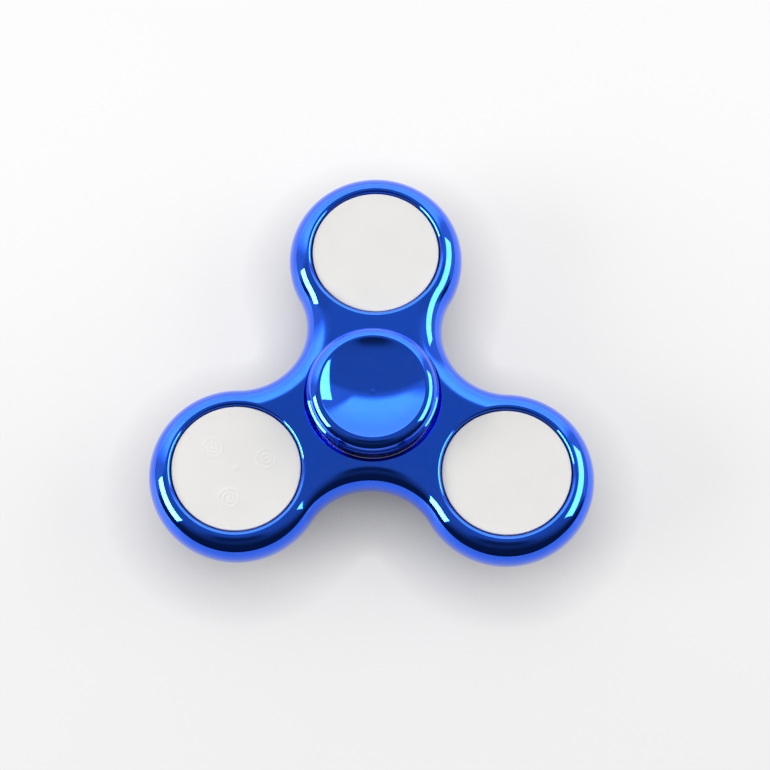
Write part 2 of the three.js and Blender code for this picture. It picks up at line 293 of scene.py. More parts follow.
def shell_outline(depth, rim_pod, rim_hub):
    """Stations round the outline: each lobe is a circle and each notch a circle tangent to two lobes. At
    every station the rounded edge reaches inwards until it meets a bore's rim or is depth wide."""
    reach = LOBE_R + NOTCH_R
    notch_l = (PITCH_R + math.sqrt(PITCH_R**2 - 4 * (PITCH_R**2 - reach**2))) / 2
    tangent = math.degrees(math.acos((notch_l / 2 - PITCH_R) / reach))
    inner = NOTCH_R + depth

    def opposite(a, b, c):
        return math.degrees(math.acos((a * a + b * b - c * c) / (2 * a * b)))

    turn = opposite(notch_l, reach, PITCH_R)
    at_pod = turn - opposite(inner, reach, rim_pod)
    at_hub = opposite(inner, notch_l, rim_hub)
    bends = [-turn, -at_pod, -at_hub, at_hub, at_pod, turn]
    counts = [TURN_STEPS, WEB_STEPS, NOTCH_STEPS, WEB_STEPS, TURN_STEPS]
    stretches = [np.linspace(a, b, n, endpoint=False) for a, b, n in zip(bends, bends[1:], counts)]
    psi = np.concatenate(stretches)
    kind = np.repeat([0, 1, 2, 1, 0], counts)
    gap = np.radians(turn - np.abs(psi))
    swing = np.radians(psi)
    to_pod = reach * np.cos(gap) - np.sqrt(np.maximum(rim_pod**2 - (reach * np.sin(gap)) ** 2, 0))
    to_hub = notch_l * np.cos(swing) - np.sqrt(np.maximum(rim_hub**2 - (notch_l * np.sin(swing)) ** 2, 0))
    width = np.select([kind == 0, kind == 1], [to_pod - NOTCH_R, np.full_like(psi, depth)], to_hub - NOTCH_R)
    spots, outwards, widths = [], [], []
    for letter in POD_LETTERS:
        lobe = lobe_angle(letter)
        around = direction(np.linspace(lobe - tangent, lobe + tangent, LOBE_STEPS, endpoint=False))
        facing = direction(lobe + 240 - psi)
        spots += [pod_centre(letter) + LOBE_R * around, notch_l * direction(lobe + 60) + NOTCH_R * facing]
        outwards += [around, -facing]
        widths += [np.full(LOBE_STEPS, LOBE_R - rim_pod), width]
    return np.concatenate(spots), np.concatenate(outwards), np.concatenate(widths)


def edge_band(outline, depth, rise):
    """The rounded edge: at each station a part of a quarter ellipse from the parting line up and inwards."""
    spot, outward, width = outline
    ending = np.arccos(1 - width / depth)
    swing = np.linspace(0, 1, EDGE_ROWS + 1)[:, None] * ending[None, :]
    inset = depth * (1 - np.cos(swing))
    plan = spot[None] - outward[None] * inset[..., None]
    height = LAND_HALF + rise * np.sin(swing)
    tilt = np.stack([np.cos(swing) / depth, np.sin(swing) / rise], axis=-1)
    tilt /= np.linalg.norm(tilt, axis=-1, keepdims=True)
    normals = np.concatenate([outward[None] * tilt[..., :1], tilt[..., 1:]], axis=-1)
    return np.concatenate([plan, height[..., None]], axis=-1), normals


def circle_arc(centre, start, end, steps):
    """Points of the circle round centre from start anticlockwise to end, both included."""
    from_angle, to_angle = (math.degrees(math.atan2(*(p[:2] - centre)[::-1])) for p in (start, end))
    angles = np.linspace(from_angle, from_angle + (to_angle - from_angle) % 360, steps + 1)
    radius = np.hypot(*(start[:2] - centre))
    return centre + radius * direction(angles)


def web_patch(hub_arc, pod_arc, right, left, height):
    """A flat web between two bores, blended linearly from its four edge lines (a Coons patch)."""
    u = np.linspace(0, 1, len(hub_arc))[:, None, None]
    v = np.linspace(0, 1, len(right))[None, :, None]
    sides = (1 - v) * hub_arc[:, None] + v * pod_arc[:, None] + (1 - u) * right[None] + u * left[None]
    corners = ((1 - u) * (1 - v) * right[0] + u * (1 - v) * left[0]
               + (1 - u) * v * right[-1] + u * v * left[-1])
    plan = sides - corners
    points = np.concatenate([plan, np.full(plan.shape[:2] + (1,), height)], axis=-1)
    return grid_patch(points, np.broadcast_to([0.0, 0.0, 1.0], points.shape), wrap=False)


def shell_face(depth, rise, rim_pod, rim_hub):
    """The upper skin of the shell: patches, the outline's ring, and the ring round each bore's rim."""
    outline = shell_outline(depth, rim_pod, rim_hub)
    points, normals = edge_band(outline, depth, rise)
    inner = points[-1]
    third = len(inner) // 3
    marks = np.cumsum([0, LOBE_STEPS, TURN_STEPS, WEB_STEPS, NOTCH_STEPS, WEB_STEPS, TURN_STEPS])
    _, to_web, hub_a, hub_b, from_web = marks[1:6]

    def stretch(k, start, end):
        return inner[np.arange(k * third + start, k * third + end + 1) % len(inner)]

    patches = [grid_patch(points, normals)]
    pod_rings, hub_ring = [], []
    for k, letter in enumerate(POD_LETTERS):
        before = (k - 1) % 3
        right = stretch(before, hub_b, from_web)[:, :2]
        left = stretch(k, to_web, hub_a)[::-1, :2]
        centre = pod_centre(letter)
        hub_arc = circle_arc(np.zeros(2), right[0], left[0], ARC_STEPS)
        pod_arc = circle_arc(centre, left[-1], right[-1], ARC_STEPS)[::-1]
        patches.append(web_patch(hub_arc, pod_arc, right, left, LAND_HALF + rise))
        flat = np.full((ARC_STEPS - 1, 1), LAND_HALF + rise)
        outer = stretch(before, from_web, third + to_web)
        pod_rings.append(np.concatenate([outer, np.hstack([pod_arc[::-1][1:-1], flat])]))
        hub_ring += [np.hstack([hub_arc[1:-1], flat]), stretch(k, hub_a, hub_b)]
    return patches, points[0], pod_rings, np.concatenate(hub_ring)


def bore_patches(upper, lower, centre, fillet):
    """A bore from its upper rim ring, down the wall, over the retaining ledge, to its lower rim ring. Each
    rim is a quarter circle."""
    swing = np.linspace(0, math.pi / 2, 7)

    def rim(ring):
        radial = (ring[:, :2] - centre) / np.hypot(*(ring[:, :2] - centre).T)[:, None]
        radius = np.hypot(*(ring[0, :2] - centre)) - fillet * np.sin(swing)
        plan = centre + radius[:, None, None] * radial[None]
        height = ring[None, :, 2] - fillet * (1 - np.cos(swing))[:, None]
        normal = np.concatenate([
            -np.sin(swing)[:, None, None] * radial[None],
            np.broadcast_to(np.cos(swing)[:, None, None], (len(swing), len(ring), 1))], axis=-1)
        return np.concatenate([plan, height[..., None]], axis=-1), normal

    top, top_normal = rim(upper)
    low, low_normal = rim(lower)
    flip = np.array([1, 1, -1])
    low, low_normal = (low * flip)[::-1], (low_normal * flip)[::-1]
    shelf_outer, shelf_inner = top[-1].copy(), low[0].copy()
    shelf_outer[:, 2] = shelf_inner[:, 2] = LEDGE_Z
    wall = np.concatenate([top, shelf_outer[None]])
    wall_normal = np.concatenate([top_normal, top_normal[-1:]])
    shelf = np.stack([shelf_outer, shelf_inner])
    neck = np.concatenate([shelf_inner[None], low])
    neck_normal = np.concatenate([low_normal[:1], low_normal])
    up = np.broadcast_to([0.0, 0.0, 1.0], shelf.shape)
    return [grid_patch(wall, wall_normal), grid_patch(shelf, up), grid_patch(neck, neck_normal)]


def shell_patches(depth, fillet):
    """Every skin of the shell, upper and lower, with the land at the parting line and the four bores."""
    rise = SHELL_TOP - LAND_HALF
    top, top_edge, top_pods, top_hub = shell_face(depth, rise, BORE_R + fillet, BORE_R + fillet)
    low, low_edge, low_pods, low_hub = shell_face(depth, rise, LEDGE_R + fillet, LEDGE_R + fillet)
    patches = top + [mirrored(p) for p in low]
    outward = shell_outline(depth, BORE_R + fillet, BORE_R + fillet)[1]
    land_normal = np.concatenate([outward, np.zeros((len(outward), 1))], axis=1)
    land = np.stack([low_edge * [1, 1, -1], top_edge])
    patches.append(grid_patch(land, np.stack([land_normal, land_normal])))
    for letter, upper, lower in zip(POD_LETTERS, top_pods, low_pods):
        patches += bore_patches(upper, lower, pod_centre(letter), fillet)
    return patches + bore_patches(top_hub, low_hub, np.zeros(2), fillet)


# ---------------------------------------------------------------- finger caps

def cap_line(sizes, pin):
    """Section of a finger cap from the axis inside its stub, out under the flange, up a bevelled shoulder and
    the full round of the brim, over the crest and down the dish: height = middle + r^2 / (2 curve)."""
    seat = RING_HALF + 0.03
    end = 0.15
    brim_curve, crest_curve, dish_curve = sizes.brim_curve / MM, sizes.crest_curve / MM, sizes.dish_curve / MM
    crest_r, brim_r, bevel = sizes.crest_r / MM, sizes.brim_r / MM, sizes.bevel / MM
    root = [(0, 2.9, 0), (1.95, 2.9, 0.3), (1.95, end, 0)] if pin else \
           [(0, 3.2, 0), (2.02, 3.2, 0.2), (2.02, end, 0.1)]
    joint = math.asin((crest_r - brim_r) / (brim_curve - crest_curve))
    brim_z = CAP_TOP - crest_curve - (brim_curve - crest_curve) * math.cos(joint)
    swing = np.linspace(math.radians(68), joint, 24)
    brim = np.stack([brim_r + brim_curve * np.sin(swing), brim_z + brim_curve * np.cos(swing)], axis=1)
    stem = rounded(root + [
        (3.97, end, 0.3), (3.97, seat, 0), (5.95, seat, 0.2), (5.95, 5.4, 0.6), (7.3, CAP_UNDER, 0.5),
        (CAP_R, CAP_UNDER, 0.4), (CAP_R, SHOULDER_Z - 0.73 * bevel, 0.28), (CAP_R - bevel, SHOULDER_Z, 0.1),
        (*brim[0], 0)])
    dish_edge = math.atan((crest_r - crest_curve * 0.52) / dish_curve)
    swing = np.linspace(joint, -dish_edge, 16)
    crest = np.stack([
        crest_r + crest_curve * np.sin(swing), CAP_TOP - crest_curve * (1 - np.cos(swing))], axis=1)
    r = np.linspace(crest[-1, 0], 0, 48)
    gate = 0.04 * np.exp(-((r / 0.3) ** 2))
    dish = np.stack([r, crest[-1, 1] - (r[0] ** 2 - r**2) / (2 * dish_curve) + gate], axis=1)
    return np.concatenate([stem, brim[1:], crest[1:], dish[1:]])


# ---------------------------------------------------------------- bearing

def groove(centre_r, radius, side, half_span, steps=12):
    """A raceway in section: an arc round the ball's centre, on the outer (side 1) or inner (side -1) ring."""
    swing = np.radians(np.linspace(-half_span, half_span, steps + 1))
    return np.stack([centre_r + side * radius * np.cos(swing), radius * np.sin(swing)], axis=1)


def outer_ring_line():
    """The outer ring: ground outside with broken edges, shield seats and a deep raceway."""
    h, r = RING_HALF, RING_R
    outside = rounded([
        (9.45, -h, 0.1), (r, -h, 0.35), (r, h, 0.35), (9.45, h, 0.1), (9.45, 2.9, 0), (8.95, 2.9, 0.1)])
    raceway = groove(BALL_PITCH_R, 2.05, 1, 44)[::-1]
    return np.concatenate([outside, raceway, [[8.95, -2.9], [9.45, -2.9]], outside[:1]])


def inner_ring_line():
    """The inner ring: bore with broken edges and a raceway in its outside."""
    h = RING_HALF
    inside = rounded([(6.05, h, 0.15), (4.0, h, 0.3), (4.0, -h, 0.3), (6.05, -h, 0.15)])
    return np.concatenate([inside, groove(BALL_PITCH_R, 2.05, -1, 44), inside[:1]])


def shield_line(side):
    """A pressed shield: a flat ring with a crimped bead at its seat and a lip turned in at its bore."""
    z = np.array([2.97, 3.1, 3.25])
    flat = rounded([
        (6.3, z[0], 0), (9.4, z[0], 0.05), (9.4, z[2], 0.12), (8.95, z[2], 0.1), (8.8, z[1], 0.1),
        (7.1, z[1], 0.1), (6.9, z[2], 0.1), (6.5, z[2], 0.1), (6.3, z[1], 0.08)])
    line = np.concatenate([flat, flat[:1]])
    return line if side > 0 else (line * [1, -1])[::-1]


def ball_line(radius):
    """Half a circle from pole to pole."""
    swing = np.radians(np.linspace(-90, 90, 25))
    line = np.stack([radius * np.cos(swing), radius * np.sin(swing)], axis=1)
    line[[0, -1], 0] = 0
    return line


def cage_lift(angle, radius, height):
    """Crown cage: the top of the ring dips to the lower half of a ball pocket under each ball."""
    pocket_r = 2.09
    step = 360 / BALL_COUNT
    offset = (angle - 90 + step / 2) % step - step / 2
    away = radius**2 + BALL_PITCH_R**2 - 2 * radius * BALL_PITCH_R * np.cos(np.radians(offset))
    dip = -np.sqrt(np.maximum(pocket_r**2 - away, 0))
    return radius, np.where((away < pocket_r**2) & (height > dip), dip, height)


# ---------------------------------------------------------------- light pods

def near_snap(angle, lobe, half_width):
    """True at the angles where a snap lug or its pocket stands."""
    turn = angle - lobe
    return np.any([np.abs((turn - a + 180) % 360 - 180) < half_width for a in SNAP_ANGLES], axis=0)


def lens_line(edge):
    """Section of a push-button lens: post, underside, skirt, outer wall and the satin face."""
    under = LENS_TOP - 1.0
    skirt = 0.55
    corners = [
        (0, 3.05, 0), (1.3, 3.05, 0.1), (1.3, under, 0.2), (10.16, under, 0.3), (10.16, 2.03, 0),
        (10.16, 1.17, 0), (10.16, skirt, 0.08), (LENS_R, skirt, 0.08), (LENS_R, LENS_TOP, edge),
    ]
    face = np.linspace(LENS_R - edge - 0.02, 0, 60)
    return np.concatenate([rounded(corners[:-1] + [corners[-1], (0, LENS_TOP, 0)])[:-1],
                           np.stack([face, np.full_like(face, LENS_TOP)], axis=1)])


def mark_relief(x, y, height):
    """Low moulded rings over each LED and a dot in the middle, as sums of bell-shaped ridges."""
    relief = np.exp(-((np.hypot(x, y) / 0.35) ** 2))
    for k in range(3):
        cx, cy = LED_RING_R * direction(LED_PHASE + 120 * k)
        off = np.hypot(x - cx, y - cy)
        relief = relief + np.exp(-((off / 0.3) ** 2))
        for ring_r in (0.85, 1.6):
            relief = relief + 0.7 * np.exp(-(((off - ring_r) / 0.17) ** 2))
    return height * relief


def lens_lift(letter, height_of_marks):
    """Pockets for the snap lugs inside the skirt, and the ring marks if this lens has them."""
    lobe = lobe_angle(letter)

    def lift(angle, radius, height):
        pocket = near_snap(angle, lobe, 9.7) & (np.abs(radius - 10.16) < 0.01)
        pocket &= (height > 1.1) & (height < 2.1)
        radius = np.where(pocket, 10.62, radius)
        x, y = np.moveaxis(direction(angle - lobe) * radius[..., None], -1, 0)
        face = (height > LENS_TOP - 1e-6) & (radius < LENS_R - 0.5)
        return radius, height + np.where(face, mark_relief(x, y, height_of_marks), 0)

    return lift


def cup_line():
    """Section of a pod's base cup: boss, outer wall, shoulder, inner wall, board seat and well."""
    return rounded([
        (0, CUP_BOTTOM, 0), (10.3, CUP_BOTTOM, 0.25), (10.3, -3.5, 0.1), (10.97, -3.5, 0.15),
        (10.97, -0.05, 0.15), (10.08, -0.05, 0.1), (10.08, 1.2, 0), (10.08, 1.7, 0), (10.08, 2.6, 0.15),
        (9.42, 2.6, 0.15), (9.42, 0.6, 0), (8.9, 0.6, 0.1), (8.9, -3.5, 0.3), (0, -3.5, 0)])


def cup_lift(letter):
    """Three snap lugs standing out of the cup's upper wall."""
    lobe = lobe_angle(letter)

    def lift(angle, radius, height):
        lug = near_snap(angle, lobe, 8.5) & (np.abs(radius - 10.08) < 0.01)
        lug &= (height > 1.15) & (height < 1.75)
        return np.where(lug, 10.52, radius), height

    return lift


def led_line():
    """Section of a round LED: flange, straight side and domed lens."""
    swing = np.radians(np.linspace(0, 90, 13))
    dome = np.stack([1.5 * np.cos(swing), 2.26 + 0.79 * np.sin(swing)], axis=1)
    dome[-1, 0] = 0
    base = rounded([(0, 1.46, 0), (1.65, 1.46, 0.05), (1.65, 1.81, 0.08), (1.5, 1.81, 0)])
    return np.concatenate([base, dome])


def cell_line(up):
    """Section of a button cell: rolled can, dark gasket step and the smaller pole."""
    base, h = -3.28, 3.6
    line = rounded([
        (0, 0, 0), (3.95, 0, 0.3), (3.95, h - 0.35, 0.25), (3.5, h - 0.35, 0), (3.5, h - 0.3, 0),
        (3.38, h - 0.3, 0.0), (3.38, h, 0.15), (0, h, 0)])
    return line + [0, base] if up else (line * [1, -1] + [0, base + h])[::-1]


# ---------------------------------------------------------------- materials

def add_node(tree, kind, inputs=None, **settings):
    """Adds a node, sets its settings, and fills each input with a value or links it from a socket."""
    made = tree.nodes.new(kind)
    for name, value in settings.items():
        setattr(made, name, value)
    for name, value in (inputs or {}).items():
        if isinstance(value, bpy.types.NodeSocket):
            tree.links.new(value, made.inputs[name])
        else:
            made.inputs[name].default_value = value
    return made


def stepped(tree, value, low, high, start=0.0, end=1.0):
    """A smooth step from start to end while a value climbs from low to high."""
    return add_node(tree, "ShaderNodeMapRange", {
        "Value": value, "From Min": low, "From Max": high, "To Min": start, "To Max": end},
        interpolation_type="SMOOTHSTEP").outputs["Result"]


def math_node(tree, operation, *values):
    """One arithmetic step."""
    return add_node(tree, "ShaderNodeMath", dict(enumerate(values)), operation=operation).outputs[0]


def new_material(name):
    """An empty node material and the Object coordinates of its pieces."""
    material = bpy.data.materials.new(name)
    material.use_nodes = True
    tree = material.node_tree
    tree.nodes.clear()
    return material, tree, add_node(tree, "ShaderNodeTexCoord").outputs["Object"]


def finish_material(material, tree, clear=None, **inputs):
    """Ends a material with one Principled shader, see-through where clear is 1. Names with underscores are
    sockets with spaces."""
    sockets = {name.replace("_", " "): value for name, value in inputs.items()}
    surface = add_node(tree, "ShaderNodeBsdfPrincipled", sockets).outputs["BSDF"]
    if clear is not None:
        nothing = add_node(tree, "ShaderNodeBsdfTransparent").outputs[0]
        surface = add_node(tree, "ShaderNodeMixShader", {0: clear, 1: surface, 2: nothing}).outputs[0]
    add_node(tree, "ShaderNodeOutputMaterial", {"Surface": surface})
    return material


def per_mm(size):
    """Texture scale at which one repeat is size millimetres long."""
    return 1 / (size * MM)


def varied(tree, coords, size, low, high, detail=2.0):
    """A value that drifts between low and high over patches of the given size."""
    noise = add_node(tree, "ShaderNodeTexNoise", {"Vector": coords, "Scale": per_mm(size), "Detail": detail})
    return add_node(tree, "ShaderNodeMapRange", {
        "Value": noise.outputs["Fac"], "From Min": 0.3, "From Max": 0.7, "To Min": low, "To Max": high,
    }).outputs["Result"]


def tinted(tree, factor, first, second):
    """A colour between two others."""
    mix = add_node(tree, "ShaderNodeMix", {0: factor, 6: (*first, 1), 7: (*second, 1)}, data_type="RGBA")
    return mix.outputs[2]


def bumped(tree, height, depth, below=None):
    """A surface normal from a height value, depth in millimetres from its lowest to its highest."""
    inputs = {"Height": height, "Strength": 1.0, "Distance": depth * MM}
    if below is not None:
        inputs["Normal"] = below
    return add_node(tree, "ShaderNodeBump", inputs).outputs["Normal"]


def shade(colour_value, factor):
    """A colour made darker or lighter."""
    return tuple(min(1.0, c * factor) for c in colour_value)


def clouded(tree, coords, size, base, factor):
    """A colour that drifts between itself and a shade of itself over patches of the given size."""
    return tinted(tree, varied(tree, coords, size, 0, 1), shade(base, factor), base)


def plated_abs(colours):
    """Vacuum-metallised ABS under a clear blue lacquer: a tinted mirror with a faint lacquer ripple a few
    millimetres long, fine rubbed marks from handling, and an untinted gloss on top."""
    material, tree, coords = new_material("metallised_abs_blue_lacquer")
    base = tuple(colours.plating)
    tint = clouded(tree, coords, 14, base, 0.94)
    ripple = varied(tree, coords, 3.2, 0, 1, detail=0.0)
    grain = varied(tree, coords, 0.35, 0, 1)
    normal = bumped(tree, grain, 0.00002, bumped(tree, ripple, 0.0016))
    rough = varied(tree, coords, 1.8, 0.03, 0.06)
    return finish_material(
        material, tree, Base_Color=tint, Metallic=1.0, Roughness=rough, Normal=normal,
        Coat_Weight=0.55, Coat_Roughness=0.02, Coat_IOR=1.5)


def moulded_diffuser(colours):
    """Milk-white polycarbonate, moulded with a satin face: light sinks in and softens, and the face has a
    spark-eroded grain of about 0.15 mm."""
    material, tree, coords = new_material("polycarbonate_diffuser_satin")
    base = tuple(colours.lens)
    tint = clouded(tree, coords, 7, base, 0.97)
    normal = bumped(tree, varied(tree, coords, 0.15, 0, 1), 0.0012)
    return finish_material(
        material, tree, Base_Color=tint, Roughness=varied(tree, coords, 0.6, 0.38, 0.5), Normal=normal,
        IOR=1.58, Subsurface_Weight=0.25, Subsurface_Scale=0.8 * MM, Subsurface_Radius=(1.0, 0.95, 0.9))


def moulded_white_abs(colours):
    """White ABS straight from the tool: opaque, half-gloss, with faint flow clouds."""
    material, tree, coords = new_material("abs_moulded_white")
    base = tuple(colours.cup)
    tint = clouded(tree, coords, 4, base, 0.95)
    normal = bumped(tree, varied(tree, coords, 0.25, 0, 1), 0.001)
    return finish_material(
        material, tree, Base_Color=tint, Roughness=varied(tree, coords, 1.0, 0.35, 0.5), Normal=normal,
        IOR=1.54)


def turned_marks(tree, coords, pitch, stretch=(1, 1, 1)):
    """Fine grinding lines: noise squeezed along the spin axis, one line every pitch millimetres."""
    mapping = add_node(tree, "ShaderNodeMapping", {"Vector": coords, "Scale": stretch})
    noise = add_node(tree, "ShaderNodeTexNoise", {
        "Vector": mapping.outputs["Vector"], "Scale": per_mm(pitch), "Detail": 3.0})
    return noise.outputs["Fac"]


def ground_steel(colours):
    """Chrome bearing steel, ground: bright, with grinding lines round the ring every 0.1 mm."""
    material, tree, coords = new_material("bearing_steel_ground")
    lines = turned_marks(tree, coords, 0.1, (0.05, 0.05, 1))
    base = tuple(colours.steel)
    tint = clouded(tree, coords, 5, base, 0.93)
    return finish_material(
        material, tree, Base_Color=tint, Metallic=1.0, Roughness=varied(tree, coords, 0.8, 0.14, 0.24),
        Normal=bumped(tree, lines, 0.0006))


def polished_steel(colours):
    """Lapped steel balls: a clean mirror with a barely uneven gloss."""
    material, tree, coords = new_material("bearing_steel_lapped")
    base = tuple(colours.steel)
    tint = clouded(tree, coords, 2, base, 0.97)
    return finish_material(
        material, tree, Base_Color=tint, Metallic=1.0, Roughness=varied(tree, coords, 0.5, 0.04, 0.08))


def pressed_steel(colours):
    """Cold-rolled strip, pressed: duller than the ground ring, with the rolling grain along one way."""
    material, tree, coords = new_material("steel_strip_pressed")
    lines = turned_marks(tree, coords, 0.12, (0.08, 1, 1))
    base = tuple(colours.shield)
    tint = clouded(tree, coords, 3, base, 0.88)
    return finish_material(
        material, tree, Base_Color=tint, Metallic=1.0, Roughness=varied(tree, coords, 0.7, 0.28, 0.4),
        Normal=bumped(tree, lines, 0.0015))


def nylon_cage(colours):
    """Glass-filled nylon: dark, matt, with short fibre flecks."""
    material, tree, coords = new_material("nylon_glass_filled")
    base = tuple(colours.cage)
    tint = tinted(tree, varied(tree, coords, 0.4, 0, 1), shade(base, 0.7), shade(base, 1.4))
    return finish_material(
        material, tree, Base_Color=tint, Roughness=varied(tree, coords, 0.6, 0.5, 0.65),
        Normal=bumped(tree, varied(tree, coords, 0.3, 0, 1), 0.006), IOR=1.53)


def solder_mask(colours):
    """Glass-epoxy board under green solder mask: the weave shows as a faint 0.5 mm check, with tinned
    pads."""
    material, tree, coords = new_material("fr4_solder_mask_green")
    base = tuple(colours.board)
    weave = add_node(tree, "ShaderNodeTexChecker", {"Vector": coords, "Scale": per_mm(0.5)})
    spots = add_node(tree, "ShaderNodeTexVoronoi", {"Vector": coords, "Scale": per_mm(2.4)}, feature="F1")
    pads = add_node(tree, "ShaderNodeMath", {0: spots.outputs["Distance"], 1: 0.16}, operation="LESS_THAN")
    green = tinted(tree, weave.outputs["Fac"], shade(base, 0.86), base)
    pad = add_node(tree, "ShaderNodeMix", {0: pads.outputs[0], 6: green, 7: (0.6, 0.6, 0.58, 1)},
                   data_type="RGBA")
    return finish_material(
        material, tree, Base_Color=pad.outputs[2], Metallic=pads.outputs[0],
        Roughness=varied(tree, coords, 0.9, 0.28, 0.4), Normal=bumped(tree, pads.outputs[0], 0.02), IOR=1.55)


def switch_plastic(name, code):
    """Moulded PBT of the small electronic parts: dull, with a fine tool grain."""
    material, tree, coords = new_material(name)
    base = srgb(code)
    tint = tinted(tree, varied(tree, coords, 1.2, 0, 1), shade(base, 0.8), shade(base, 1.2))
    return finish_material(
        material, tree, Base_Color=tint, Roughness=varied(tree, coords, 0.4, 0.42, 0.6),
        Normal=bumped(tree, varied(tree, coords, 0.12, 0, 1), 0.003), IOR=1.56)


def led_epoxy():
    """Water-clear epoxy: a glassy dome that is slightly milky where it was cast."""
    material, tree, coords = new_material("epoxy_cast_clear")
    cloud = varied(tree, coords, 0.8, 0, 1)
    return finish_material(
        material, tree, Base_Color=tinted(tree, cloud, srgb("e4e9ef"), srgb("f6f8fb")),
        Roughness=varied(tree, coords, 0.5, 0.03, 0.1), IOR=1.52, Transmission_Weight=0.8)


def nickel_can():
    """Nickel-plated steel of the button cells: drawn, so bright with fine scuffs."""
    material, tree, coords = new_material("nickel_plate_drawn")
    scuff = turned_marks(tree, coords, 0.3, (1, 0.2, 1))
    tint = tinted(tree, varied(tree, coords, 2.5, 0, 1), srgb("bdbcb6"), srgb("cfcdc6"))
    return finish_material(
        material, tree, Base_Color=tint, Metallic=1.0,
        Roughness=varied(tree, coords, 0.6, 0.16, 0.3), Normal=bumped(tree, scuff, 0.0012))


def gasket_nylon():
    """The dark sealing ring between a cell's can and its pole."""
    material, tree, coords = new_material("gasket_nylon_dark")
    tint = tinted(tree, varied(tree, coords, 0.5, 0, 1), srgb("1a1b1d"), srgb("2a2c2f"))
    return finish_material(
        material, tree, Base_Color=tint, Roughness=varied(tree, coords, 0.4, 0.45, 0.6), IOR=1.53)


def bronze_strip(colours):
    """Phosphor-bronze spring strip, rolled and stamped: warm, with the rolling lines 0.1 mm apart."""
    material, tree, coords = new_material("phosphor_bronze_rolled")
    lines = turned_marks(tree, coords, 0.1, (0.05, 1, 1))
    base = tuple(colours.strip)
    tint = clouded(tree, coords, 2, base, 0.85)
    return finish_material(
        material, tree, Base_Color=tint, Metallic=1.0, Roughness=varied(tree, coords, 0.6, 0.2, 0.34),
        Normal=bumped(tree, lines, 0.001))


SHEET_SIDE, SHEET_FRONT = 120, -85  # millimetres from the spin axis to where the sheet ends in mirrors


def table_top(colours):
    """Sheet with painted light: it glows, a little brighter towards +Y, and an ambient-occlusion node dims
    the glow near the spinner, a painted contact shadow, so that only the shadows close under it are deep. In
    mirrors it ends near the spinner and the dim room shows past it."""
    material, tree, coords = new_material("sheet_painted_glow_and_shadow")
    base = tuple(colours.floor)
    tint = clouded(tree, coords, 90, base, 0.985)
    axes = add_node(tree, "ShaderNodeSeparateXYZ", {"Vector": coords})
    x, y = axes.outputs["X"], axes.outputs["Y"]
    # painted light: the sheet glows, a little brighter towards +Y
    glow = stepped(tree, y, -0.07, 0.07, 0.58, 0.67)
    # painted contact shadow: ambient occlusion dims the glow within 12 mm of the spinner
    painted_shadow_ao = add_node(tree, "ShaderNodeAmbientOcclusion", {"Distance": 12 * MM}, samples=8).outputs["AO"]
    edge = 5 * MM  # the sheet's end is soft over twice this
    across = stepped(tree, math_node(tree, "ABSOLUTE", x), SHEET_SIDE * MM - edge, SHEET_SIDE * MM + edge)
    along = stepped(tree, y, SHEET_FRONT * MM - edge, SHEET_FRONT * MM + edge, 1, 0)
    past = math_node(tree, "MAXIMUM", across, along)
    mirror = add_node(tree, "ShaderNodeLightPath").outputs["Is Glossy Ray"]
    return finish_material(
        material, tree, clear=math_node(tree, "MULTIPLY", past, mirror), Base_Color=tint, IOR=1.45,
        Roughness=varied(tree, coords, 30, 0.55, 0.65), Emission_Color=(1, 1, 1, 1),
        Emission_Strength=math_node(tree, "MULTIPLY", glow, painted_shadow_ao))


MADE = {}


def material_for(maker, *args):
    """Each material is made once and shared."""
    key = (maker.__name__,) + tuple(a for a in args if isinstance(a, str))
    if key not in MADE:
        MADE[key] = maker(*args)
    return MADE[key]


# ---------------------------------------------------------------- operators

class SPINNER_OT_shell(Operator):
    """Build the plated three-lobed shell"""

    bl_idname = "spinner.shell"
    bl_label = "Shell"

    def execute(self, context):
        sizes, colours = context.scene.spinner_sizes, context.scene.spinner_colours
        patches = shell_patches(sizes.edge_depth / MM, sizes.rim_fillet / MM)
        shell = make_object("plated_shell", patches, [material_for(plated_abs, colours)])
        stand_for(shell, "rotor", "plated_blue", "body_shell")
        return {"FINISHED"}


class SPINNER_OT_caps(Operator):
    """Build the two concave finger caps"""

    bl_idname = "spinner.caps"
    bl_label = "Finger caps"

    def execute(self, context):
        sizes, colours = context.scene.spinner_sizes, context.scene.spinner_colours
        plated = [material_for(plated_abs, colours)]
        upper = turned(cap_line(sizes, pin=False), facets=sizes.facets)
        lower = mirrored(turned(cap_line(sizes, pin=True), facets=sizes.facets))
        for side, patch in (("top", upper), ("bottom", lower)):
            cap = make_object(f"plated_cap_{side}", [patch], plated, smooth_angle=40)
            stand_for(cap, "hub", "plated_blue", f"finger_cap_{side}")
        return {"FINISHED"}


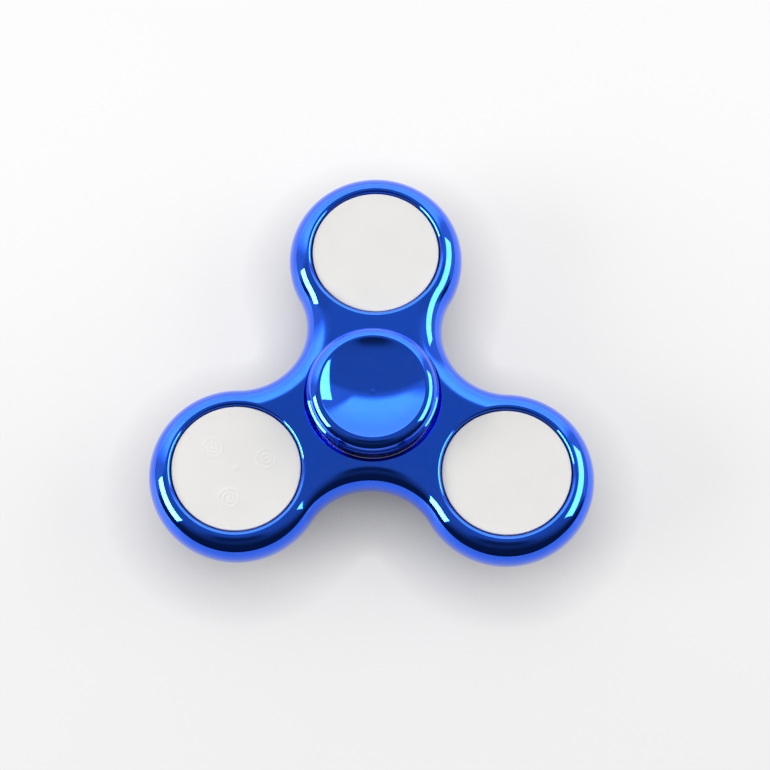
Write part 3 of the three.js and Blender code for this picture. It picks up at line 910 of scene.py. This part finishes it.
class SPINNER_OT_bearing(Operator):
    """Build the ball bearing: rings, shields, cage and balls"""

    bl_idname = "spinner.bearing"
    bl_label = "Ball bearing"

    def execute(self, context):
        sizes, colours = context.scene.spinner_sizes, context.scene.spinner_colours
        ground = [material_for(ground_steel, colours)]
        for name, line, body in (("outer", outer_ring_line(), "rotor"), ("inner", inner_ring_line(), "hub")):
            ring = make_object(f"ground_{name}_ring", [turned(line, facets=sizes.facets)], ground, 35)
            stand_for(ring, body, "bearing_steel", f"bearing_{name}_ring")
        for side, name in ((1, "top"), (-1, "bottom")):
            patch = turned(shield_line(side), facets=sizes.facets)
            pressed = [material_for(pressed_steel, colours)]
            shield = make_object(f"pressed_shield_{name}", [patch], pressed, 40)
            stand_for(shield, "rotor", "shield_steel", f"bearing_shield_{name}")
        section = np.concatenate([
            np.stack([np.linspace(6.75, 8.25, 9), np.full(9, -2.85)], axis=1),
            np.stack([np.full(9, 8.25), np.linspace(-2.6, 0.65, 9)], axis=1),
            np.stack([np.linspace(8.25, 6.75, 9), np.full(9, 0.9)], axis=1),
            np.stack([np.full(9, 6.75), np.linspace(0.65, -2.6, 9)], axis=1), [[6.75, -2.85]]])
        patch = turned(section, facets=42 * BALL_COUNT, lift=cage_lift)
        cage = make_object("crown_cage", [patch], [material_for(nylon_cage, colours)], 40)
        stand_for(cage, "ball_cage", "cage_nylon", "bearing_cage")
        for i in range(BALL_COUNT):
            node = f"bearing_ball_{i + 1}"
            low, high = box_mm(node)
            centre = (low + high) / 2
            patch = turned(ball_line(1.985) + [0, centre[2]], centre[:2], 48)
            ball = make_object(f"lapped_ball_{i + 1}", [patch], [material_for(polished_steel, colours)], 60)
            stand_for(ball, "ball_cage", "bearing_steel", node)
        return {"FINISHED"}


class SPINNER_OT_pods(Operator):
    """Build the light pods' cups and push-button lenses"""

    bl_idname = "spinner.pods"
    bl_label = "Light pods"

    def execute(self, context):
        sizes, colours = context.scene.spinner_sizes, context.scene.spinner_colours
        for letter in POD_LETTERS:
            centre = pod_centre(letter)
            cup = make_object(
                f"pod_{letter}_base_cup", [turned(cup_line(), centre, 240, cup_lift(letter))],
                [material_for(moulded_white_abs, colours)], 35)
            stand_for(cup, "rotor", "cup_white", f"pod_{letter}_cup")
            marks = sizes.mark_height / MM if letter == "b" else 0.0
            patch = turned(lens_line(sizes.lens_edge / MM), centre, 240, lens_lift(letter, marks))
            lens = make_object(f"pod_{letter}_lens", [patch], [material_for(moulded_diffuser, colours)], 35)
            stand_for(lens, f"button_{letter}", "lens_white", f"pod_{letter}_button")
        return {"FINISHED"}


class SPINNER_OT_electronics(Operator):
    """Finish what is inside the pods: LEDs, cells, boards, switches, chips and contact strips"""

    bl_idname = "spinner.electronics"
    bl_label = "Electronics"

    def execute(self, context):
        colours = context.scene.spinner_colours
        kept = {
            "circuit_board": material_for(solder_mask, colours),
            "switch_case": material_for(switch_plastic, "pbt_moulded_black", "1b1c1e"),
            "switch_plunger": material_for(switch_plastic, "pbt_moulded_grey", "6d7075"),
            "driver_chip": material_for(switch_plastic, "epoxy_moulded_black", "141517"),
            "contact_lower": material_for(bronze_strip, colours),
            "contact_upper": material_for(bronze_strip, colours),
        }
        can, gasket, epoxy = material_for(nickel_can), material_for(gasket_nylon), material_for(led_epoxy)
        for letter in POD_LETTERS:
            for name, material in kept.items():
                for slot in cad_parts[f"pod_{letter}_{name}"].material_slots:
                    slot.material = material
            for i in (1, 2, 3):
                led_node, cell_node = f"pod_{letter}_led_{i}", f"pod_{letter}_cell_{i}"
                low, high = box_mm(led_node)
                patch = turned(led_line(), (low + high)[:2] / 2, 48)
                led = make_object(f"pod_{letter}_lamp_{i}", [patch], [epoxy], 30)
                stand_for(led, "rotor", "led_clear", led_node)
                low, high = box_mm(cell_node)
                line = cell_line(up=i != 2)
                rows = (line[:-1] + line[1:]) / 2
                step = np.abs(np.abs(rows[:, 1] + 1.48) - 1.475) < 0.08
                tints = np.repeat(step & (rows[:, 0] > 3.3) & (rows[:, 0] < 3.6), 72).astype(int)
                cell = make_object(f"pod_{letter}_button_cell_{i}", [turned(line, (low + high)[:2] / 2, 72)],
                                   [can, gasket], 30, tints)
                stand_for(cell, "rotor", "cell_steel", cell_node)
        return {"FINISHED"}


CAMERA_AT = (5.93, -156.87, 463.01)  # millimetres, in the frame's axes
CAMERA_RIGHT = (0.99985064, 0.01708506, -0.0026074)
CAMERA_UP = (-0.01528884, 0.94471763, 0.3275284)
LENS_MM = 134.5


def add_light(name, compass, elevation, roll, width, height, radiance, tone):
    """A rectangular soft box 0.9 m away that faces the spinner from a compass angle and an elevation. roll
    turns it about its own axis; its size is given as the angles that it fills, seen from the spinner."""
    distance = 0.9
    light = bpy.data.lights.new(name, "AREA")
    light.shape = "RECTANGLE"
    light.size, light.size_y = (2 * distance * math.tan(math.radians(a / 2)) for a in (width, height))
    light.energy = radiance * math.pi * light.size * light.size_y
    light.color = srgb(tone)
    obj = bpy.data.objects.new(name, light)
    bpy.context.scene.collection.objects.link(obj)
    lift = math.radians(elevation)
    back = np.array([*(direction(compass) * math.cos(lift)), math.sin(lift)])
    level = np.array([*direction(compass + 90), 0.0])
    side = level * math.cos(math.radians(roll)) + np.cross(back, level) * math.sin(math.radians(roll))
    obj.matrix_world = Matrix(np.vstack([
        np.column_stack([side, np.cross(back, side), back, back * distance]), [0, 0, 0, 1]]).tolist())
    return obj


def studio_world():
    """A soft room, by direction: a bright wall on one side up to 60 degrees, a dimmer ceiling, a dark side
    with the viewer in it, and less light from below. Seen directly it is one pale grey."""
    world = bpy.data.worlds.new("soft_room")
    bpy.context.scene.world = world
    world.use_nodes = True
    tree = world.node_tree
    tree.nodes.clear()
    coords = add_node(tree, "ShaderNodeTexCoord").outputs["Generated"]
    axes = add_node(tree, "ShaderNodeSeparateXYZ", {"Vector": coords})
    x, y, z = (axes.outputs[name] for name in "XYZ")

    def product(first, *others):
        for other in others:
            first = math_node(tree, "MULTIPLY", first, other)
        return first

    level = math_node(tree, "ABSOLUTE", z)
    swing = math_node(tree, "MULTIPLY", math_node(tree, "ARCTAN2", level, y), 180 / math.pi)
    compass = math_node(tree, "MULTIPLY", math_node(tree, "ARCTAN2", y, x), 180 / math.pi)
    wall = product(stepped(tree, compass, 45, 55), stepped(tree, compass, 141, 161, 1, 0),
                   stepped(tree, swing, 55, 65, 1, 0))
    viewer = product(stepped(tree, compass, -135, -105), stepped(tree, compass, -75, -50, 1, 0),
                     stepped(tree, swing, 121, 130), stepped(tree, swing, 137, 150, 1, 0))
    unhidden = math_node(tree, "MULTIPLY_ADD", viewer, -0.7, 1.0)
    ceiling = product(stepped(tree, swing, 112, 166, 0.42, 0.055), stepped(tree, swing, 62, 73, 1.6, 0.95),
                      unhidden, stepped(tree, z, -0.15, 0.0, 0.45, 1))
    glow = stepped(tree, swing, 10, 50, 1.8, 2.7)
    extra = product(wall, math_node(tree, "SUBTRACT", glow, ceiling))
    room = math_node(tree, "ADD", ceiling, extra)
    lit = add_node(tree, "ShaderNodeBackground", {"Color": (1, 1, 1, 1), "Strength": room})
    plain = add_node(tree, "ShaderNodeBackground", {"Color": (*srgb("ececee"), 1), "Strength": 1.0})
    seen = add_node(tree, "ShaderNodeLightPath").outputs["Is Camera Ray"]
    mix = add_node(tree, "ShaderNodeMixShader", {0: seen, 1: lit.outputs[0], 2: plain.outputs[0]})
    add_node(tree, "ShaderNodeOutputWorld", {"Surface": mix.outputs[0]})


class SPINNER_OT_stage(Operator):
    """Build the table top, the soft studio light and the camera"""

    bl_idname = "spinner.stage"
    bl_label = "Stage"

    def execute(self, context):
        colours = context.scene.spinner_colours
        ground = CAD_BOUNDS[0][2] / MM
        side = np.linspace(-1500.0, 1500.0, 9)
        x, y = np.meshgrid(side, side)
        points = np.stack([x, y, np.full_like(x, ground)], axis=-1)
        up = np.broadcast_to([0.0, 0.0, 1.0], points.shape)
        sheet = [material_for(table_top, colours)]
        floor = make_object("table_top", [grid_patch(points, up, wrap=False)], sheet)
        studio_world()
        add_light("softbox_left", 190.3, 22, 5, 36, 20, 24.0, "fffdf8")
        add_light("softbox_right", 9, 27, -8, 50, 24, 8.0, "fffdf8")
        camera = bpy.data.cameras.new("studio_camera")
        camera.lens = LENS_MM
        camera.sensor_width = 36
        camera.clip_start = 0.01
        obj = bpy.data.objects.new("studio_camera", camera)
        bpy.context.scene.collection.objects.link(obj)
        matrix = np.eye(4)
        matrix[:3, 0], matrix[:3, 1] = CAMERA_RIGHT, CAMERA_UP
        matrix[:3, 2] = np.cross(CAMERA_RIGHT, CAMERA_UP)
        matrix[:3, 3] = np.array(CAMERA_AT) * MM
        obj.matrix_world = Matrix(matrix.tolist())
        context.scene.camera = obj
        context.scene.view_settings.view_transform = "Standard"
        return {"FINISHED"}


class SPINNER_PT_panel(Panel):
    """Lists the spinner's settings and the buttons that build it"""

    bl_idname = "SPINNER_PT_panel"
    bl_label = "Fidget spinner"
    bl_space_type = "VIEW_3D"
    bl_region_type = "UI"
    bl_category = "Spinner"

    def draw(self, context):
        for group in (context.scene.spinner_sizes, context.scene.spinner_colours):
            column = self.layout.column(align=True)
            for name in group.__annotations__:
                column.prop(group, name)
        for operator in OPERATORS:
            self.layout.operator(operator.bl_idname)


OPERATORS = (SPINNER_OT_shell, SPINNER_OT_caps, SPINNER_OT_bearing, SPINNER_OT_pods, SPINNER_OT_electronics,
             SPINNER_OT_stage)
CLASSES = (SpinnerSizes, SpinnerColours, *OPERATORS, SPINNER_PT_panel)


def register():
    for cls in CLASSES:
        bpy.utils.register_class(cls)
    bpy.types.Scene.spinner_sizes = PointerProperty(type=SpinnerSizes)
    bpy.types.Scene.spinner_colours = PointerProperty(type=SpinnerColours)


def unregister():
    del bpy.types.Scene.spinner_colours
    del bpy.types.Scene.spinner_sizes
    for cls in reversed(CLASSES):
        bpy.utils.unregister_class(cls)


def main():
    register()
    bpy.ops.spinner.shell()
    bpy.ops.spinner.caps()
    bpy.ops.spinner.bearing()
    bpy.ops.spinner.pods()
    bpy.ops.spinner.electronics()
    bpy.ops.spinner.stage()


if __name__ == "__main__":
    main()
